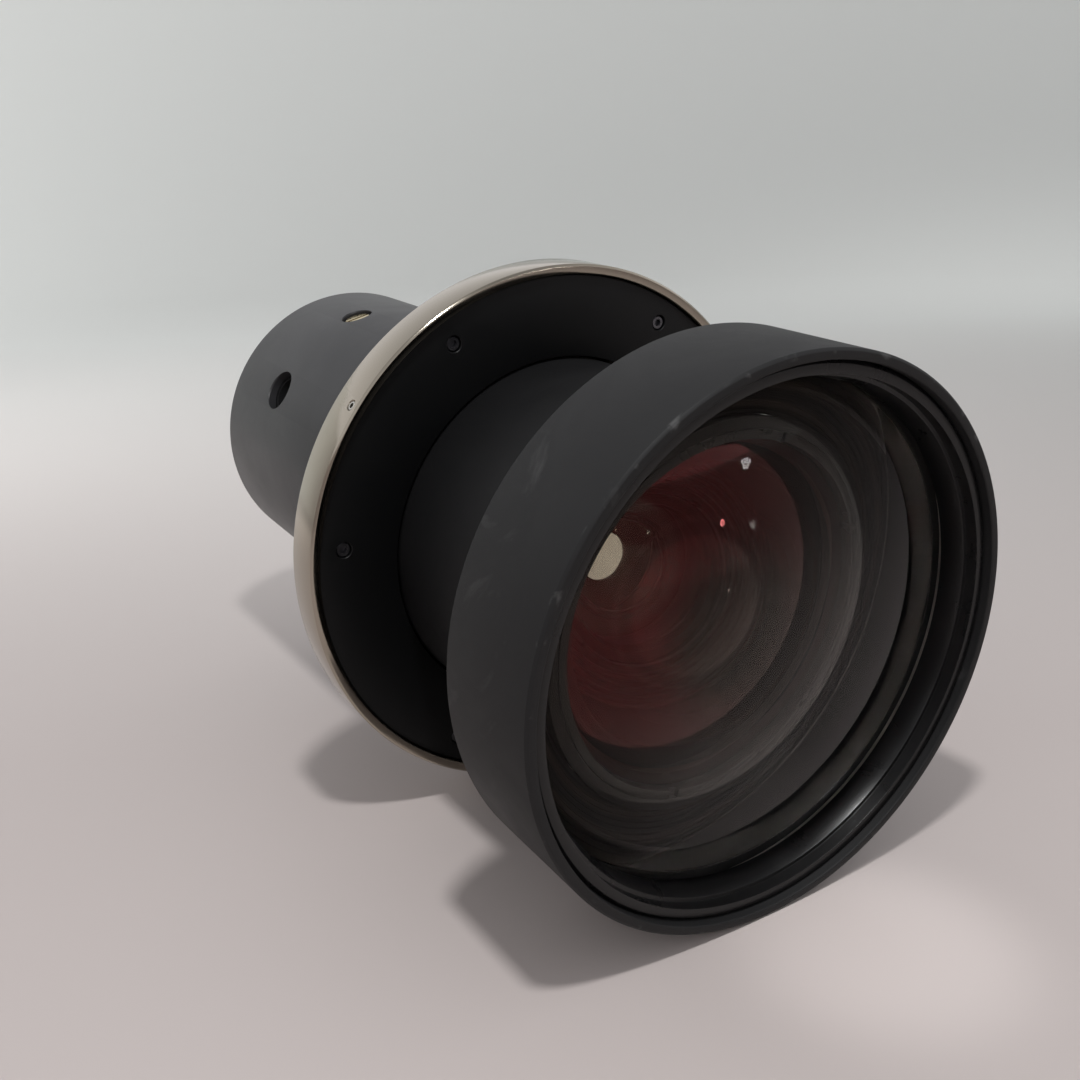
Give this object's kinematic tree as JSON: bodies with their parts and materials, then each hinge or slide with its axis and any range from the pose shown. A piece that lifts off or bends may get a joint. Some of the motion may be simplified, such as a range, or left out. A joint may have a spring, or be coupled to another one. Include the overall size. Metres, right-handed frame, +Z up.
{
  "type": "projection lens",
  "caption": "Short-throw projection lens: wide front hood, middle tube, round seating flange and long rear barrel, with its glass elements inside.",
  "frame": {"origin": "on the optical axis, in the flange's rear seating face", "axes": "+Y along the optical axis towards the rear barrel's end, -Y towards the front hood, +Z up, +X to the right when seen from the front"},
  "size_m": [0.1624, 0.2551, 0.1624],
  "materials": {
    "hood_black": "matte",
    "ring_black": "matte",
    "baffle_black": "matte",
    "tube_black": "satin",
    "plate_black": "matte",
    "flange_nickel": "satin",
    "barrel_grey": "satin",
    "carrier_black": "matte",
    "stop_black": "matte",
    "screw_black": "satin",
    "screw_bright": "satin",
    "front_coated_glass": "polished",
    "red_coated_glass": "polished",
    "inner_coated_glass": "polished",
    "rear_coated_glass": "polished"
  },
  "bodies": {
    "root": {"front_hood": "hood_black", "front_retaining_ring": "ring_black", "front_glass": "front_coated_glass", "stepped_baffle": "baffle_black", "second_retaining_ring": "ring_black", "second_glass": "red_coated_glass", "middle_tube": "tube_black", "conical_spacer": "baffle_black", "third_glass_cell": "baffle_black", "third_retaining_ring": "ring_black", "third_glass": "inner_coated_glass", "flange_ring": "flange_nickel", "flange_face_plate": "plate_black", "face_screws": "screw_black", "rim_set_screws": "screw_black", "rear_barrel": "barrel_grey", "group_carrier": "carrier_black", "centring_screws": "screw_bright", "locking_screws": "screw_black", "fourth_retaining_ring": "ring_black", "fourth_glass": "inner_coated_glass", "stop_spacer": "baffle_black", "aperture_stop": "stop_black", "fifth_glass_cell": "baffle_black", "fifth_glass": "inner_coated_glass", "relay_spacer": "baffle_black", "sixth_glass_cell": "baffle_black", "sixth_glass": "inner_coated_glass", "rear_spacer": "baffle_black", "rear_glass": "rear_coated_glass", "rear_retaining_ring": "ring_black"}
  },
  "joints": []
}
